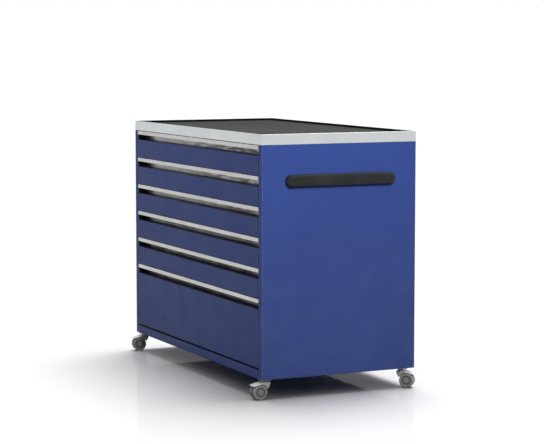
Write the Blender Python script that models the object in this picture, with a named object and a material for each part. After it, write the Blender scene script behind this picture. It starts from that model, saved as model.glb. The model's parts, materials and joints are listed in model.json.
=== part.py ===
"""Under-bench drawer cabinet on four twin-wheel swivel castors.

A folded steel carcass carries five shallow drawers and one deep one on telescopic runners.
A raised tray with a mat forms the top, and a ledge grip on the right side panel moves the cabinet.

Metres, +Z up. X runs along the drawer fronts, the fronts face -Y and the floor is at Z = 0.
The part stands centred on its whole footprint, so the carcass lies a little to the left of the origin and behind it.
"""

import math

import bmesh
import bpy
from mathutils import Matrix, Vector

# Fits and clearances
SEAM = 0.0003  # gap between two pieces that touch
DRAWER_GAP = 0.0015  # gap above each drawer
SIDE_GAP = 0.0015  # gap between a drawer front and the stile beside it
PLINTH_GAP = 0.004  # gap between the bottom drawer and the plinth
SLIDE_PLAY = 0.0008  # sideways play between nested runners
BOX_LIFT = 0.006  # drawer box floor above the lower edge of its front
BOX_DROP = 0.012  # drawer box rim below the top of its pull
BOX_BACK_GAP = 0.012  # space behind a closed drawer box

# Carcass
WIDTH = 1.050
DEPTH = 0.525
BODY_HEIGHT = 0.7075  # underside of the base to the top of the side panels
PANEL_SHEET = 0.0015
BASE_SHEET = 0.0025
BEND_RADIUS = 0.003
STILE_WIDTH = 0.0245
REAR_LIP = 0.015
PLINTH_HEIGHT = 0.0282
PLINTH_FLANGE = 0.020
BEAM_WIDTH = 0.046
BEAM_HEIGHT = 0.018

# Top tray and mat
RIM_HEIGHT = 0.0322
RIM_WALL = 0.003
TRAY_FLOOR = 0.0025
RECESS_DEPTH = 0.0075  # rim down to the mat
MAT_SHEET = 0.003
MAT_BORDER = 0.004
MAT_DROP = 0.0005  # border below the rim

# Drawers
SHALLOW_DRAWERS = 5
DRAWER_PITCH = 0.0927  # one shallow drawer to the next
DRAWER_SHEET = 0.0012
FRONT_DEPTH = 0.030
FRONT_EDGE = 0.001  # rounding of the front's outer edges
PULL_HEIGHT = 0.0297  # top of the lip down to the front
PULL_LIP = 0.0125
PULL_LEG = 0.015  # part of the pull that is held behind the front
PULL_SHEET = 0.002
PULL_BEND = 0.0025

# Telescopic runners
RUNNER_SHEET = 0.0015
RUNNER_HEIGHT = 0.036
RUNNER_REACH = 0.010  # depth of the runner channel
RUNNER_RISE = 0.030  # middle of the runner above the drawer box floor
RUNNER_BEND = 0.002

# Side grip
GRIP_LENGTH = 0.372
GRIP_HEIGHT = 0.039
GRIP_PROUD = 0.016
GRIP_WALL = 0.004
GRIP_ROUND = 0.008
GRIP_DROP = 0.110  # top of the side panel down to the middle of the grip

# Castors
WHEEL_RADIUS = 0.023
WHEEL_WIDTH = 0.012
WHEEL_SIDE_GAP = 0.001  # wheel to the web between the two wheels
HUB_RADIUS = 0.008
HUB_CAP = 0.003  # closed end of the hub, outside the axle
DIMPLE_RADIUS = 0.0022
DIMPLE_DEPTH = 0.0015
RIM_DEPTH = 0.007  # tread and rim, outside the recessed disc
DISC_RECESS = 0.003
TREAD_EDGE = 0.002
AXLE_RADIUS = 0.004
TRAIL = 0.020  # kingpin to axle
WEB_WIDTH = 0.006  # housing between the wheels
WEB_TIP = 0.008  # round end of the web about the axle
HOOD_SHEET = 0.002
HOOD_TILT = 14.0  # degrees
HOOD_GAP = 0.001  # tread to hood
HOOD_SIDE = 0.002  # hood past the outer face of each wheel
CROWN_FRONT = 0.006
CROWN_BACK = 0.011
THROAT_DROP = 0.0065
THROAT_WALL = 0.0035
THROAT_ANGLE = 28.0  # degrees above the axle at which the wheel well ends
KINGPIN_RADIUS = 0.004
KINGPIN_DEPTH = 0.012
RACE_RADIUS = 0.010
RACE_HEIGHT = 0.0055
MOUNT_PLATE = 0.032  # side of the square plate
MOUNT_SHEET = 0.003
CASTOR_INSET_X = 0.025  # cabinet side to kingpin
FRONT_INSET_Y = 0.020  # cabinet front to kingpin
REAR_INSET_Y = 0.035  # cabinet back to kingpin
CASTOR_TURNS = {"front_left": -8.0, "front_right": 0.0, "rear_left": 172.0, "rear_right": 140.0}  # degrees

# Facets of round shapes
BEND_STEPS = 3
WHEEL_STEPS = 32
PIN_STEPS = 20
TIP_STEPS = 6
WELL_STEPS = 10
GRIP_STEPS = 10

# Castor levels
HOOD_ANGLE = math.radians(HOOD_TILT)
HOOD_RISE = (WHEEL_RADIUS + HOOD_GAP + HOOD_SHEET) / math.cos(HOOD_ANGLE)


def hood_top(reach):
    """Height of the hood's upper face at a distance from the kingpin."""
    return WHEEL_RADIUS + HOOD_RISE - (reach - TRAIL) * math.tan(HOOD_ANGLE)


HOOD_END = TRAIL + WHEEL_RADIUS
CROWN_TOP = hood_top(CROWN_FRONT)
KINGPIN_FOOT = CROWN_TOP - KINGPIN_DEPTH
MOUNT_UNDER = CROWN_TOP + SEAM + RACE_HEIGHT
WHEEL_INNER = WEB_WIDTH / 2 + WHEEL_SIDE_GAP
WHEEL_OUTER = WHEEL_INNER + WHEEL_WIDTH
HOOD_HALF = WHEEL_OUTER + HOOD_SIDE
AXLE_HALF = WHEEL_OUTER - HUB_CAP - SEAM

# Carcass levels and planes
BASE_Z = MOUNT_UNDER + MOUNT_SHEET + SEAM
FLOOR_Z = BASE_Z + BASE_SHEET + SEAM
PLINTH_Z = BASE_Z + PLINTH_HEIGHT
TOP_Z = BASE_Z + BODY_HEIGHT
RIM_Z = TOP_Z + RIM_HEIGHT
TRAY_Z = RIM_Z - RECESS_DEPTH - MAT_SHEET - SEAM
FRONT_Y = -DEPTH / 2
BACK_Y = DEPTH / 2
OPENING_HALF = WIDTH / 2 - STILE_WIDTH
FRONT_LIP = FRONT_DEPTH + PULL_SHEET + 2 * SEAM
INSIDE_FRONT_Y = FRONT_Y + FRONT_LIP + SEAM
INSIDE_BACK_Y = BACK_Y - REAR_LIP - SEAM

# Drawer planes, measured from the front plane and from the lower edge of a drawer
FRONT_HALF = OPENING_HALF - SIDE_GAP
BOX_HALF = OPENING_HALF - RUNNER_REACH - SLIDE_PLAY
BOX_FRONT = FRONT_LIP
BOX_BACK = DEPTH - REAR_LIP - BOX_BACK_GAP
RUNNER_TIP = OPENING_HALF - RUNNER_REACH
RUNNER_Z = BOX_LIFT + RUNNER_RISE
CHANNEL_HALF = RUNNER_HEIGHT / 2 - RUNNER_SHEET
CARRIAGE_HALF = CHANNEL_HALF - SEAM
CARRIAGE_X = OPENING_HALF - SLIDE_PLAY
RAIL_HALF = CARRIAGE_HALF - RUNNER_SHEET - SEAM
RAIL_X = CARRIAGE_X - RUNNER_SHEET - SLIDE_PLAY
SHALLOW_HEIGHT = DRAWER_PITCH - DRAWER_GAP
DEEP_HEIGHT = BODY_HEIGHT - SHALLOW_DRAWERS * DRAWER_PITCH - DRAWER_GAP - PLINTH_HEIGHT - PLINTH_GAP


def drawer_levels():
    """Lower edge and height of each drawer, from the top one down."""
    levels = []
    for index in range(SHALLOW_DRAWERS):
        levels.append((TOP_Z - (index + 1) * DRAWER_PITCH, SHALLOW_HEIGHT))
    levels.append((PLINTH_Z + PLINTH_GAP, DEEP_HEIGHT))
    return levels


# Outlines in a plane


def left_of(direction):
    """Unit vector a quarter turn to the left."""
    return Vector((-direction.y, direction.x))


def offset_path(path, distance):
    """The path moved sideways to its left, with mitred corners."""
    points = [Vector(point) for point in path]
    runs = [(b - a).normalized() for a, b in zip(points, points[1:])]
    moved = [points[0] + left_of(runs[0]) * distance]
    for point, before, after in zip(points[1:-1], runs, runs[1:]):
        mitre = left_of(before) + left_of(after)
        moved.append(point + mitre * (distance / (1 + before.dot(after))))
    moved.append(points[-1] + left_of(runs[-1]) * distance)
    return moved


def round_path(path, radius):
    """The path with each left-hand corner turned into an arc."""
    points = [Vector(point) for point in path]
    if radius <= 0:
        return points
    rounded = [points[0]]
    for start, corner, end in zip(points, points[1:], points[2:]):
        before = (corner - start).normalized()
        after = (end - corner).normalized()
        turn = math.acos(before.dot(after))
        centre = corner - before * (radius * math.tan(turn / 2)) + left_of(before) * radius
        first = -left_of(before) * radius
        for step in range(BEND_STEPS + 1):
            rounded.append(centre + Matrix.Rotation(turn * step / BEND_STEPS, 2) @ first)
    rounded.append(points[-1])
    return rounded


def folded_sheet(path, sheet, radius):
    """Outline of a bent sheet: its outer face follows the path, its inner face lies to the left."""
    outer = round_path(path, radius)
    inner = round_path(offset_path(path, sheet), radius - sheet)
    return outer + inner[::-1]


def mirrored(outline):
    """The outline reflected from the right side to the left side."""
    return [Vector((-point[0], point[1])) for point in reversed(outline)]


def spoke(radius, degrees):
    """A point at a radius and an angle."""
    angle = math.radians(degrees)
    return radius * Vector((math.cos(angle), math.sin(angle)))


def arc(centre, radius, start, stop, steps):
    """Points on an arc, with its angles in degrees."""
    shares = [step / steps for step in range(steps + 1)]
    return [Vector(centre) + spoke(radius, start + (stop - start) * share) for share in shares]


# Solids under construction

DIRECTIONS = {"X": Vector((1, 0, 0)), "Y": Vector((0, 1, 0)), "Z": Vector((0, 0, 1))}


def in_space(point, axis, along):
    """A point of an outline's plane, set at a distance along the axis that the plane faces."""
    if axis == "X":
        return Vector((along, point[0], point[1]))
    if axis == "Y":
        return Vector((point[0], along, point[1]))
    return Vector((point[0], point[1], along))


def swept_points(swept):
    """The points that an extrusion has made."""
    return [item for item in swept["geom"] if isinstance(item, bmesh.types.BMVert)]


def extruded(outline, axis, start, stop):
    """An outline drawn out along an axis."""
    bm = bmesh.new()
    cap = bm.faces.new([bm.verts.new(in_space(point, axis, start)) for point in outline])
    swept = bmesh.ops.extrude_face_region(bm, geom=[cap], use_keep_orig=True)
    bmesh.ops.translate(bm, verts=swept_points(swept), vec=DIRECTIONS[axis] * (stop - start))
    bmesh.ops.recalc_face_normals(bm, faces=bm.faces)
    return bm


def block(low, high):
    """A box between two corners."""
    bm = bmesh.new()
    size = Vector(high) - Vector(low)
    middle = (Vector(high) + Vector(low)) / 2
    bmesh.ops.create_cube(bm, size=1, matrix=Matrix.Translation(middle) @ Matrix.Diagonal((*size, 1)))
    return bm


def outer_face(bm, facing):
    """The outermost face that looks along a direction."""
    looking = [face for face in bm.faces if face.normal.dot(facing) > 0.99]
    return max(looking, key=lambda face: face.calc_center_median().dot(facing))


def hollowed(bm, facing, wall, depth):
    """Sinks a pocket into the face that looks along a direction, with a wall left around it."""
    face = outer_face(bm, facing)
    bmesh.ops.inset_region(bm, faces=[face], thickness=wall, use_even_offset=True)
    swept = bmesh.ops.extrude_face_region(bm, geom=[face])
    bmesh.ops.delete(bm, geom=[face], context="FACES_ONLY")
    bmesh.ops.translate(bm, verts=swept_points(swept), vec=-facing * depth)
    bmesh.ops.recalc_face_normals(bm, faces=bm.faces)
    return bm


def corner_edges(bm, half_x, half_y):
    """The upright edges at the four corners of a box."""
    found = []
    for edge in bm.edges:
        middle = (edge.verts[0].co + edge.verts[1].co) / 2
        upright = abs(edge.verts[0].co.z - edge.verts[1].co.z) > edge.calc_length() / 2
        if upright and abs(middle.x) > half_x - SEAM and abs(middle.y) > half_y - SEAM:
            found.append(edge)
    return found


def eased(bm, edges, radius, steps):
    """Rounds a choice of edges."""
    bmesh.ops.bevel(bm, geom=edges, offset=radius, segments=steps, profile=0.5, affect="EDGES")
    bmesh.ops.recalc_face_normals(bm, faces=bm.faces)
    return bm


def turned(profile, axis, steps, ring):
    """A profile of (radius, along) points spun about an axis. A ring's profile is a closed loop."""
    bm = bmesh.new()
    side = "Z" if axis == "X" else "X"
    points = [bm.verts.new(DIRECTIONS[side] * r + DIRECTIONS[axis] * along) for r, along in profile]
    edges = [bm.edges.new(pair) for pair in zip(points, points[1:])]
    if ring:
        edges.append(bm.edges.new((points[-1], points[0])))
    bmesh.ops.spin(
        bm,
        geom=points + edges,
        cent=(0, 0, 0),
        axis=DIRECTIONS[axis],
        angle=2 * math.pi,
        steps=steps,
        use_merge=True,
    )
    bmesh.ops.remove_doubles(bm, verts=bm.verts, dist=1e-6)
    bmesh.ops.recalc_face_normals(bm, faces=bm.faces)
    return bm


def combined(base, tool, operation):
    """Union or difference of two solids."""
    shapes = []
    for bm in (base, tool):
        mesh = bpy.data.meshes.new("shape")
        bm.to_mesh(mesh)
        bm.free()
        shape = bpy.data.objects.new("shape", mesh)
        bpy.context.scene.collection.objects.link(shape)
        shapes.append(shape)
    modifier = shapes[0].modifiers.new("combine", "BOOLEAN")
    modifier.operation = operation
    modifier.object = shapes[1]
    result = bmesh.new()
    result.from_object(shapes[0], bpy.context.evaluated_depsgraph_get())
    for shape in shapes:
        mesh = shape.data
        bpy.data.objects.remove(shape)
        bpy.data.meshes.remove(mesh)
    return result


# Objects


def finish(name, colour, roughness, metallic):
    """A material with one colour and gloss."""
    material = bpy.data.materials.new(name)
    material.use_nodes = True
    shader = material.node_tree.nodes["Principled BSDF"]
    shader.inputs["Base Color"].default_value = (*colour, 1)
    shader.inputs["Roughness"].default_value = roughness
    shader.inputs["Metallic"].default_value = metallic
    return material


def mesh_of(bm, name, material, smooth=False):
    """Turns a solid into a mesh with its material."""
    mesh = bpy.data.meshes.new(name)
    bm.to_mesh(mesh)
    bm.free()
    mesh.materials.append(material)
    if smooth:
        mesh.shade_smooth()
        mesh.set_sharp_from_angle(angle=math.radians(35))
    return mesh


def place(name, data, parent, location=(0, 0, 0), turn=0.0):
    """Adds an object, or an empty where there is no mesh, under a parent."""
    item = bpy.data.objects.new(name, data)
    bpy.context.scene.collection.objects.link(item)
    item.parent = parent
    item.location = location
    item.rotation_euler.z = turn
    return item


# Carcass


def side_panel_outline():
    """Plan of the right side panel: lip, front stile, skin, rear return and lip."""
    path = [
        (OPENING_HALF, FRONT_Y + FRONT_LIP),
        (OPENING_HALF, FRONT_Y),
        (WIDTH / 2, FRONT_Y),
        (WIDTH / 2, BACK_Y),
        (OPENING_HALF, BACK_Y),
        (OPENING_HALF, BACK_Y - REAR_LIP),
    ]
    return folded_sheet(path, PANEL_SHEET, BEND_RADIUS)


def runner_panel_outline():
    """Front view of the right runner panel: a wall with a channel for each drawer."""
    wall = OPENING_HALF
    foot = FLOOR_Z + BEAM_HEIGHT + SEAM
    outline = [(wall + RUNNER_SHEET, foot), (wall + RUNNER_SHEET, TOP_Z), (wall, TOP_Z)]
    for lower_edge, _ in drawer_levels():
        middle = lower_edge + RUNNER_Z
        for lower in (middle + CHANNEL_HALF, middle - CHANNEL_HALF - RUNNER_SHEET):
            upper = lower + RUNNER_SHEET
            outline += [(wall, upper), (RUNNER_TIP, upper), (RUNNER_TIP, lower), (wall, lower)]
    outline.append((wall, foot))
    return [Vector(point) for point in outline]


def base_beam_outline():
    """Section of the right base beam, a channel standing open side down."""
    outside = WIDTH / 2 - PANEL_SHEET - SEAM
    path = [
        (outside, FLOOR_Z),
        (outside, FLOOR_Z + BEAM_HEIGHT),
        (outside - BEAM_WIDTH, FLOOR_Z + BEAM_HEIGHT),
        (outside - BEAM_WIDTH, FLOOR_Z),
    ]
    return folded_sheet(path, PANEL_SHEET, BEND_RADIUS)


def plinth_outline():
    """Section of the plinth rail, seen from the right: face and top flange."""
    path = [
        (FRONT_Y + PLINTH_FLANGE, PLINTH_Z),
        (FRONT_Y, PLINTH_Z),
        (FRONT_Y, FLOOR_Z),
    ]
    return folded_sheet(path, PANEL_SHEET, BEND_RADIUS)


def build_carcass(cabinet, blue, steel):
    """Base, side panels, back, plinth and the runner panels inside."""
    base = block((-WIDTH / 2, FRONT_Y, BASE_Z), (WIDTH / 2, BACK_Y, BASE_Z + BASE_SHEET))
    eased(base, corner_edges(base, WIDTH / 2, BACK_Y), BEND_RADIUS, BEND_STEPS)
    place("base_plate", mesh_of(base, "base_plate", blue), cabinet)

    handed = [
        ("side_panel", side_panel_outline(), "Z", FLOOR_Z, TOP_Z, blue),
        ("runner_panel", runner_panel_outline(), "Y", INSIDE_FRONT_Y, INSIDE_BACK_Y, steel),
        ("base_beam", base_beam_outline(), "Y", INSIDE_FRONT_Y, INSIDE_BACK_Y, steel),
    ]
    for kind, outline, axis, start, stop, material in handed:
        for side, shape in (("right", outline), ("left", mirrored(outline))):
            name = f"{side}_{kind}"
            place(name, mesh_of(extruded(shape, axis, start, stop), name, material), cabinet)

    inside_half = OPENING_HALF - SEAM
    rail = extruded(plinth_outline(), "X", -inside_half, inside_half)
    place("plinth_rail", mesh_of(rail, "plinth_rail", blue), cabinet)

    back = block((-inside_half, BACK_Y - REAR_LIP, FLOOR_Z), (inside_half, BACK_Y, TOP_Z))
    hollowed(back, -DIRECTIONS["Y"], PANEL_SHEET, REAR_LIP - PANEL_SHEET)
    place("back_panel", mesh_of(back, "back_panel", blue), cabinet)


def build_top(cabinet, steel, grey, rubber):
    """Stiffening pan, tray with its raised rim, and the mat."""
    up = DIRECTIONS["Z"]
    half_x = WIDTH / 2 - RIM_WALL - SEAM
    half_y = BACK_Y - RIM_WALL - SEAM
    under_tray = TRAY_Z - TRAY_FLOOR

    pan = block((-half_x, -half_y, TOP_Z + SEAM), (half_x, half_y, under_tray - SEAM))
    hollowed(pan, -up, PANEL_SHEET, under_tray - 2 * SEAM - TOP_Z - PANEL_SHEET)
    place("top_panel", mesh_of(pan, "top_panel", steel), cabinet)

    tray = block((-WIDTH / 2, FRONT_Y, TOP_Z + SEAM), (WIDTH / 2, BACK_Y, RIM_Z))
    hollowed(tray, up, RIM_WALL, RIM_Z - TRAY_Z)
    hollowed(tray, -up, RIM_WALL, under_tray - TOP_Z - SEAM)
    eased(tray, corner_edges(tray, WIDTH / 2, BACK_Y), BEND_RADIUS, BEND_STEPS)
    place("top_tray", mesh_of(tray, "top_tray", grey), cabinet)

    mat = block((-half_x, -half_y, TRAY_Z + SEAM), (half_x, half_y, RIM_Z - MAT_DROP))
    hollowed(mat, up, MAT_BORDER, RECESS_DEPTH - MAT_DROP)
    place("top_mat", mesh_of(mat, "top_mat", rubber), cabinet)


def build_side_handle(cabinet, black):
    """Ledge grip: a bar with round ends, hollowed from below and behind for the fingers."""
    radius = GRIP_HEIGHT / 2
    straight = GRIP_LENGTH / 2 - radius
    near_end = arc((straight, 0), radius, -90, 90, GRIP_STEPS)
    far_end = arc((-straight, 0), radius, 90, 270, GRIP_STEPS)
    grip = extruded(near_end + far_end, "X", SEAM, GRIP_PROUD)
    eased(grip, list(outer_face(grip, DIRECTIONS["X"]).edges), GRIP_ROUND, BEND_STEPS)
    pocket_end = (GRIP_PROUD - GRIP_WALL, straight, radius - GRIP_WALL)
    pocket = block((-GRIP_PROUD, -straight, -GRIP_HEIGHT), pocket_end)
    grip = combined(grip, pocket, "DIFFERENCE")
    mesh = mesh_of(grip, "side_handle", black, smooth=True)
    place("side_handle", mesh, cabinet, (WIDTH / 2, 0, TOP_Z - GRIP_DROP))


# Drawers, drawn from the front plane and from the lower edge of the drawer


def drawer_front(height):
    """Blue pan, open at the back, below the pull."""
    front = block((-FRONT_HALF, 0, 0), (FRONT_HALF, FRONT_DEPTH, height - PULL_HEIGHT))
    hollowed(front, DIRECTIONS["Y"], DRAWER_SHEET, FRONT_DEPTH - DRAWER_SHEET)
    edges = list(outer_face(front, -DIRECTIONS["Y"]).edges)
    return eased(front, edges, FRONT_EDGE, BEND_STEPS)


def drawer_pull(height):
    """Strip with a leg behind the front, a top and a lip that hangs in the front plane."""
    back = FRONT_LIP - SEAM
    path = [
        (back, height - PULL_HEIGHT - PULL_LEG),
        (back, height),
        (0, height),
        (0, height - PULL_LIP),
    ]
    return extruded(folded_sheet(path, PULL_SHEET, PULL_BEND), "X", -FRONT_HALF, FRONT_HALF)


def runner_section(inside_x, outside_x, half):
    """Channel section that opens towards the middle of the cabinet, at the runner's level."""
    path = [
        (inside_x, RUNNER_Z - half),
        (outside_x, RUNNER_Z - half),
        (outside_x, RUNNER_Z + half),
        (inside_x, RUNNER_Z + half),
    ]
    return folded_sheet(path, RUNNER_SHEET, RUNNER_BEND)


def drawer_box(height):
    """Open box with a channel rail welded to each side."""
    box = block((-BOX_HALF, BOX_FRONT, BOX_LIFT), (BOX_HALF, BOX_BACK, height - BOX_DROP))
    hollowed(box, DIRECTIONS["Z"], DRAWER_SHEET, height - BOX_DROP - BOX_LIFT - DRAWER_SHEET)
    rail = runner_section(BOX_HALF - DRAWER_SHEET / 2, RAIL_X, RAIL_HALF)
    for section in (rail, mirrored(rail)):
        box = combined(box, extruded(section, "Y", BOX_FRONT + SEAM, BOX_BACK - SEAM), "UNION")
    return box


def drawer_meshes(kind, height, blue, aluminium, zinc):
    """Front, pull and box of one drawer height."""
    return {
        "front": mesh_of(drawer_front(height), f"{kind}_front", blue),
        "pull": mesh_of(drawer_pull(height), f"{kind}_pull", aluminium, smooth=True),
        "box": mesh_of(drawer_box(height), f"{kind}_box", zinc),
    }


def build_drawers(cabinet, blue, aluminium, zinc):
    """Five shallow drawers and a deep one, each between two runner carriages."""
    shallow = drawer_meshes("shallow", SHALLOW_HEIGHT, blue, aluminium, zinc)
    deep = drawer_meshes("deep", DEEP_HEIGHT, blue, aluminium, zinc)
    section = runner_section(RUNNER_TIP, CARRIAGE_X, CARRIAGE_HALF)
    carriages = {}
    for side, shape in (("right", section), ("left", mirrored(section))):
        carriage = extruded(shape, "Y", BOX_FRONT + SEAM, BOX_BACK - SEAM)
        carriages[f"{side}_carriage"] = mesh_of(carriage, f"{side}_carriage", zinc)
    for number, (lower_edge, height) in enumerate(drawer_levels(), start=1):
        drawer = place(f"drawer_{number}", None, cabinet, (0, FRONT_Y, lower_edge))
        pieces = deep if number > SHALLOW_DRAWERS else shallow
        for kind, mesh in {**pieces, **carriages}.items():
            place(f"drawer_{number}_{kind}", mesh, drawer)


# Castors, drawn from the floor under the kingpin, with the wheels trailing towards -Y


def round_bar(axis, radius, middle, half_length):
    """A round bar along an axis."""
    profile = [(0, -half_length), (radius, -half_length), (radius, half_length), (0, half_length)]
    bar = turned(profile, axis, PIN_STEPS, ring=False)
    bmesh.ops.translate(bar, verts=bar.verts, vec=middle)
    return bar


def castor_mount():
    """Square plate with the bearing race and the kingpin under it."""
    profile = [
        (0, KINGPIN_FOOT + SEAM),
        (KINGPIN_RADIUS, KINGPIN_FOOT + SEAM),
        (KINGPIN_RADIUS, CROWN_TOP + SEAM),
        (RACE_RADIUS, CROWN_TOP + SEAM),
        (RACE_RADIUS, MOUNT_UNDER + MOUNT_SHEET / 2),
        (0, MOUNT_UNDER + MOUNT_SHEET / 2),
    ]
    half = MOUNT_PLATE / 2
    plate = block((-half, -half, MOUNT_UNDER), (half, half, MOUNT_UNDER + MOUNT_SHEET))
    return combined(plate, turned(profile, "Z", PIN_STEPS, ring=False), "UNION")


def cover_outline():
    """Side view of the housing: crown, sloping hood, wheel well and throat."""
    axle = (-TRAIL, WHEEL_RADIUS)
    well = arc(axle, WHEEL_RADIUS + HOOD_GAP, 90 + HOOD_TILT, THROAT_ANGLE, WELL_STEPS)
    hood_end = hood_top(HOOD_END)
    return [
        Vector((CROWN_BACK, CROWN_TOP)),
        Vector((-CROWN_FRONT, CROWN_TOP)),
        Vector((-HOOD_END, hood_end)),
        Vector((-HOOD_END, hood_end - HOOD_SHEET / math.cos(HOOD_ANGLE))),
        *well,
        well[-1] + Vector((THROAT_WALL, 0)),
        Vector((CROWN_BACK, CROWN_TOP - THROAT_DROP)),
    ]


def web_outline():
    """Side view of the web, from inside the hood and the throat down to its round end about the axle."""
    axle = Vector((-TRAIL, WHEEL_RADIUS))
    throat = axle + spoke(WHEEL_RADIUS + HOOD_GAP, THROAT_ANGLE)
    past_axle = TRAIL + WEB_TIP
    return arc(axle, WEB_TIP, 200, 340, TIP_STEPS) + [
        throat + Vector((THROAT_WALL, THROAT_WALL)) / 2,
        Vector((CROWN_BACK / 2, CROWN_TOP - HOOD_SHEET / 2)),
        Vector((-CROWN_FRONT, CROWN_TOP - HOOD_SHEET / 2)),
        Vector((-past_axle, hood_top(past_axle) - HOOD_SHEET / 2)),
    ]


def castor_housing():
    """Cover over both wheels, the web between them, the axle in the web and the socket for the kingpin."""
    housing = extruded(cover_outline(), "X", -HOOD_HALF, HOOD_HALF)
    web = extruded(web_outline(), "X", -WEB_WIDTH / 2, WEB_WIDTH / 2)
    housing = combined(housing, web, "UNION")
    axle = round_bar("X", AXLE_RADIUS, (0, -TRAIL, WHEEL_RADIUS), AXLE_HALF)
    housing = combined(housing, axle, "UNION")
    socket = round_bar("Z", KINGPIN_RADIUS + SEAM, (0, 0, CROWN_TOP), KINGPIN_DEPTH)
    return combined(housing, socket, "DIFFERENCE")


def castor_wheel():
    """Right wheel about the axle: closed hub with a dimple, recessed disc, rim and tread."""
    profile = [
        (0, WHEEL_OUTER - DIMPLE_DEPTH),
        (DIMPLE_RADIUS, WHEEL_OUTER - DIMPLE_DEPTH),
        (DIMPLE_RADIUS, WHEEL_OUTER),
        (HUB_RADIUS, WHEEL_OUTER),
        (HUB_RADIUS, WHEEL_OUTER - DISC_RECESS),
        (WHEEL_RADIUS - RIM_DEPTH, WHEEL_OUTER - DISC_RECESS),
        (WHEEL_RADIUS - RIM_DEPTH, WHEEL_OUTER),
        (WHEEL_RADIUS - TREAD_EDGE, WHEEL_OUTER),
        (WHEEL_RADIUS, WHEEL_OUTER - TREAD_EDGE),
        (WHEEL_RADIUS, WHEEL_INNER),
        (AXLE_RADIUS + SEAM, WHEEL_INNER),
        (AXLE_RADIUS + SEAM, WHEEL_OUTER - HUB_CAP),
        (0, WHEEL_OUTER - HUB_CAP),
    ]
    return turned(profile, "X", WHEEL_STEPS, ring=False)


def castor_places():
    """Name, place of the kingpin and turn of each castor, from the middle of the carcass."""
    places = []
    for name, degrees in CASTOR_TURNS.items():
        end, side = name.split("_")
        x = WIDTH / 2 - CASTOR_INSET_X
        y = BACK_Y - REAR_INSET_Y if end == "rear" else FRONT_Y + FRONT_INSET_Y
        places.append((name, x if side == "right" else -x, y, math.radians(degrees)))
    return places


def footprint_middle():
    """Middle in plan of the box round the carcass, the side grip and the castors' hoods."""
    across = [-WIDTH / 2, WIDTH / 2 + GRIP_PROUD]
    along = [FRONT_Y, BACK_Y]
    for name, x, y, turn in castor_places():
        for side in (-HOOD_HALF, HOOD_HALF):
            for reach in (-HOOD_END, CROWN_BACK):
                across.append(x + side * math.cos(turn) - reach * math.sin(turn))
                along.append(y + side * math.sin(turn) + reach * math.cos(turn))
    return (min(across) + max(across)) / 2, (min(along) + max(along)) / 2


def build_castors(cabinet, zinc, grey_rubber):
    """Four swivel castors, each with two wheels that trail behind its kingpin at its own angle."""
    mount = mesh_of(castor_mount(), "castor_mount", zinc, smooth=True)
    housing = mesh_of(castor_housing(), "castor_housing", zinc, smooth=True)
    wheel = mesh_of(castor_wheel(), "castor_wheel", grey_rubber, smooth=True)
    for name, x, y, turn in castor_places():
        kingpin = place(f"{name}_kingpin", None, cabinet, (x, y, 0))
        place(f"{name}_castor_mount", mount, kingpin)
        swivel = place(f"{name}_swivel", None, kingpin, turn=turn)
        place(f"{name}_castor_housing", housing, swivel)
        for wheel_side, half_turn in (("right", 0.0), ("left", math.pi)):
            hub = (0, -TRAIL, WHEEL_RADIUS)
            place(f"{name}_castor_{wheel_side}_wheel", wheel, swivel, hub, half_turn)


def main():
    for item in list(bpy.data.objects):
        bpy.data.objects.remove(item)
    blue = finish("blue_paint", (0.035, 0.065, 0.29), 0.35, 0.0)
    steel = finish("bare_steel", (0.42, 0.43, 0.45), 0.45, 1.0)
    zinc = finish("zinc_plate", (0.55, 0.56, 0.57), 0.35, 1.0)
    aluminium = finish("satin_aluminium", (0.66, 0.67, 0.68), 0.30, 1.0)
    grey = finish("light_grey_paint", (0.58, 0.60, 0.60), 0.40, 0.0)
    rubber = finish("black_mat", (0.03, 0.03, 0.03), 0.75, 0.0)
    black = finish("black_grip", (0.03, 0.03, 0.03), 0.50, 0.0)
    grey_rubber = finish("grey_tread", (0.20, 0.20, 0.21), 0.60, 0.0)

    middle_x, middle_y = footprint_middle()
    cabinet = place("cabinet", None, None, (-middle_x, -middle_y, 0))
    build_carcass(cabinet, blue, steel)
    build_top(cabinet, steel, grey, rubber)
    build_side_handle(cabinet, black)
    build_drawers(cabinet, blue, aluminium, zinc)
    build_castors(cabinet, zinc, grey_rubber)


main()
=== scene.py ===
"""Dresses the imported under-bench drawer cabinet: its surfaces, finishes, light and camera."""

import json
import math

import bmesh
import bpy
import numpy as np
from mathutils import Matrix, Vector


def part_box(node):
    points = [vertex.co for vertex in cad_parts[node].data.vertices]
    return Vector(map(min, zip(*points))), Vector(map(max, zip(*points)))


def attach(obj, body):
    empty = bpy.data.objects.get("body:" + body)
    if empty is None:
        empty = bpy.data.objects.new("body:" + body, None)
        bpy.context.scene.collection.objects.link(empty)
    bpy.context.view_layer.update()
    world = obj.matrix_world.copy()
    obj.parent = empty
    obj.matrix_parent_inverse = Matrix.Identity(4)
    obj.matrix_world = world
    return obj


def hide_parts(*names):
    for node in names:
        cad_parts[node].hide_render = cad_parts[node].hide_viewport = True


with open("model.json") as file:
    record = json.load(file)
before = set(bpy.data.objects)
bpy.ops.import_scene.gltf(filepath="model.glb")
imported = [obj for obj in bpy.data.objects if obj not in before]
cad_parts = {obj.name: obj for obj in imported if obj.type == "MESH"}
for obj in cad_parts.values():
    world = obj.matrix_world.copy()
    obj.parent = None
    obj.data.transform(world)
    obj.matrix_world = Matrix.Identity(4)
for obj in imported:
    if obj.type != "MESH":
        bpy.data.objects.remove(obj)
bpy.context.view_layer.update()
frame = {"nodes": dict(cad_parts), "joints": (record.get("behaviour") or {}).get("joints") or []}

CASTORS = ("front_left", "front_right", "rear_left", "rear_right")
DRAWERS = [f"drawer_{number}" for number in range(1, 7)]
SIDES = (("right", 1), ("left", -1))

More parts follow.
